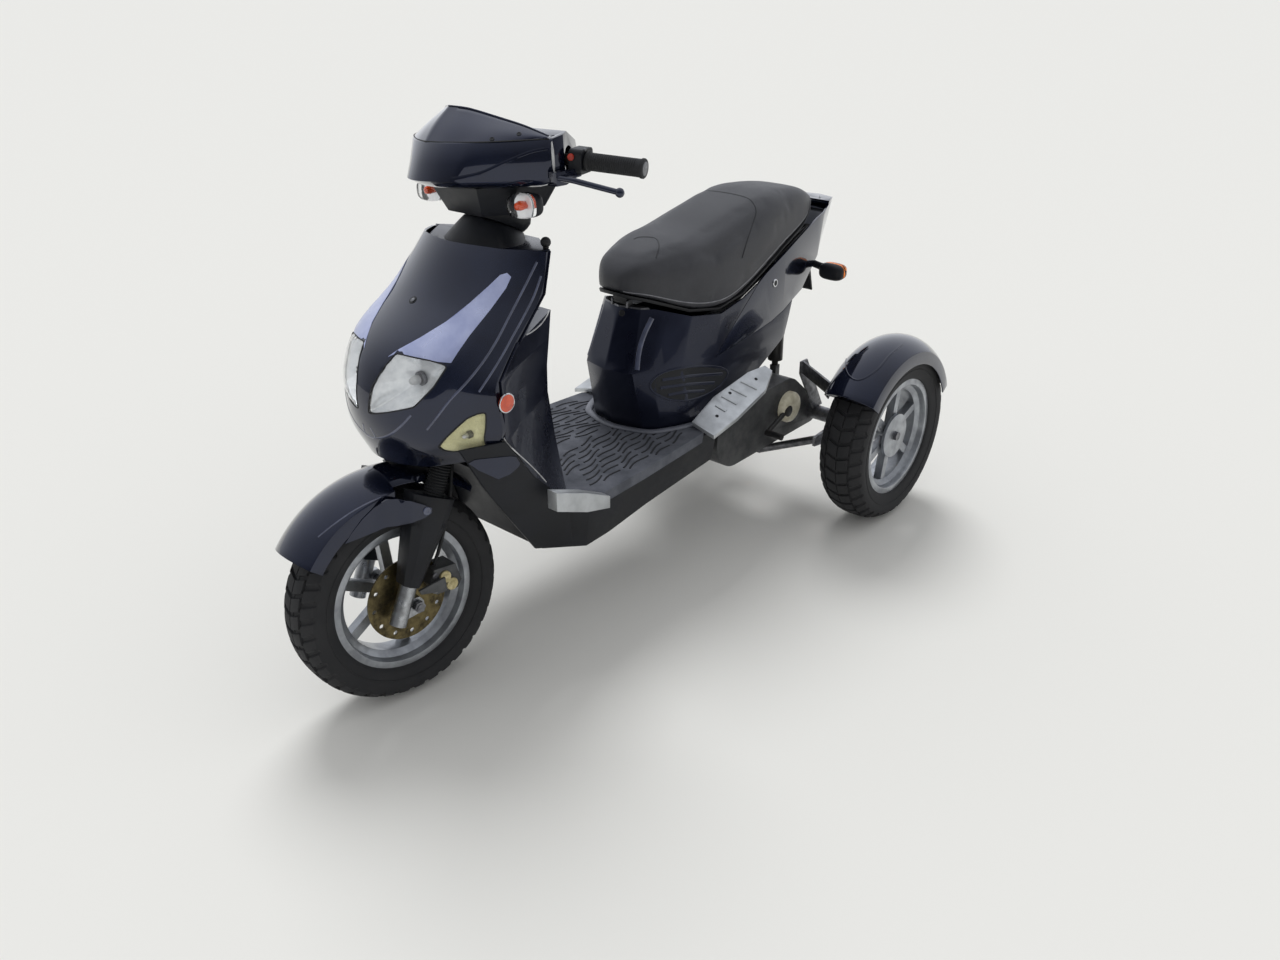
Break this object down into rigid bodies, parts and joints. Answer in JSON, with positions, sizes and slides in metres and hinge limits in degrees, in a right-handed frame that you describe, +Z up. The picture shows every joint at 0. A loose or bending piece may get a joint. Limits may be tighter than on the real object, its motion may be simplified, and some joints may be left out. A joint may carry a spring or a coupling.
{
  "type": "delta trike made from a motor scooter, one front wheel and two rear wheels",
  "caption": "Scooter trike with one steered front wheel, two rear wheels under mudguards, flat floor, hinged seat over a storage bucket.",
  "frame": {"origin": "on the ground, at the middle of the box round the whole vehicle", "axes": "+Z up, -Y forward, +X to the rider's left"},
  "size_m": [0.954, 1.854, 1.1814],
  "materials": {
    "tyre_rubber": "worn matt rubber",
    "wheel_alloy": "silver lacquered cast wheel",
    "disc_steel": "worn brake disc",
    "zinc_steel": "plated steel, dull",
    "fork_alloy": "polished and dusty",
    "frame_steel": "black paint",
    "gloss_black": "gloss black",
    "satin_black": "satin black",
    "dark_screen": "dark screen",
    "floor_grey": "dark grey, matt",
    "grip_rubber": "ribbed rubber",
    "clear_lens": "clear lens",
    "red_lens": "red lens",
    "orange_lens": "orange lens",
    "tread_alloy": "silver, scuffed",
    "engine_alloy": "cast, dirty",
    "silencer_steel": "heat-proof black",
    "seat_vinyl": "grained vinyl",
    "pan_plastic": "moulded"
  },
  "bodies": {
    "chassis": {"axle_plate": "frame_steel", "belly_pan": "satin_black", "drive_case": "engine_alloy", "engine_block": "engine_alloy", "engine_hanger": "frame_steel", "floorboard": "floor_grey", "foot_plates": "tread_alloy", "front_apron": "gloss_black", "front_cheeks": "satin_black", "glove_box": "satin_black", "guard_arms": "zinc_steel", "head_frame": "frame_steel", "headlamps": "clear_lens", "inner_shield": "satin_black", "kick_lever": "frame_steel", "park_knob": "grip_rubber", "plate_bracket": "satin_black", "rear_axle": "zinc_steel", "rear_blinkers": "orange_lens", "rear_guards": "gloss_black", "rear_shock": "frame_steel", "rear_struts": "zinc_steel", "seat_base": "satin_black", "seat_hinge": "zinc_steel", "side_lamps": "clear_lens", "side_rails": "frame_steel", "side_reflectors": "orange_lens", "silencer": "silencer_steel", "storage_bucket": "satin_black", "tail_frame": "frame_steel", "tail_lamp": "red_lens", "tail_sides": "gloss_black", "tail_top": "gloss_black"},
    "steering": {"front_axle": "zinc_steel", "fork_legs": "fork_alloy", "fork_stem": "frame_steel", "fork_covers": "satin_black", "front_guard": "gloss_black", "brake_caliper": "engine_alloy", "brake_hose": "grip_rubber", "handlebar": "frame_steel", "grips": "grip_rubber", "switch_pods": "satin_black", "brake_levers": "zinc_steel", "cowl": "gloss_black", "windscreen": "dark_screen", "dash": "gloss_black", "neck": "satin_black", "front_blinkers": "clear_lens"},
    "front_wheel": {"front_tyre": "tyre_rubber", "front_rim": "wheel_alloy", "brake_disc": "disc_steel"},
    "rear_left_wheel": {"rear_left_tyre": "tyre_rubber", "rear_left_rim": "wheel_alloy"},
    "rear_right_wheel": {"rear_right_tyre": "tyre_rubber", "rear_right_rim": "wheel_alloy"},
    "seat": {"seat_pan": "pan_plastic", "seat_cushion": "seat_vinyl"}
  },
  "joints": [
    {"name": "steering", "type": "hinge", "parent": "chassis", "child": "steering", "pos_m": [0, -0.6915, 0.236], "axis": [0, 0.4384, 0.8988], "range_deg": [-32.5, 47.5]},
    {"name": "front_wheel_spin", "type": "hinge", "parent": "steering", "child": "front_wheel", "pos_m": [0, -0.6915, 0.236], "axis": [0.9914, -0.1173, 0.0572], "continuous": true},
    {"name": "rear_left_spin", "type": "hinge", "parent": "chassis", "child": "rear_left_wheel", "pos_m": [0.395, 0.6845, 0.243], "axis": [1, 0, 0], "continuous": true},
    {"name": "rear_right_spin", "type": "hinge", "parent": "chassis", "child": "rear_right_wheel", "pos_m": [-0.395, 0.6845, 0.243], "axis": [1, 0, 0], "continuous": true},
    {"name": "seat_lid", "type": "hinge", "parent": "chassis", "child": "seat", "pos_m": [0, 0.0465, 0.696], "axis": [1, 0, 0], "range_deg": [0, 75]}
  ]
}
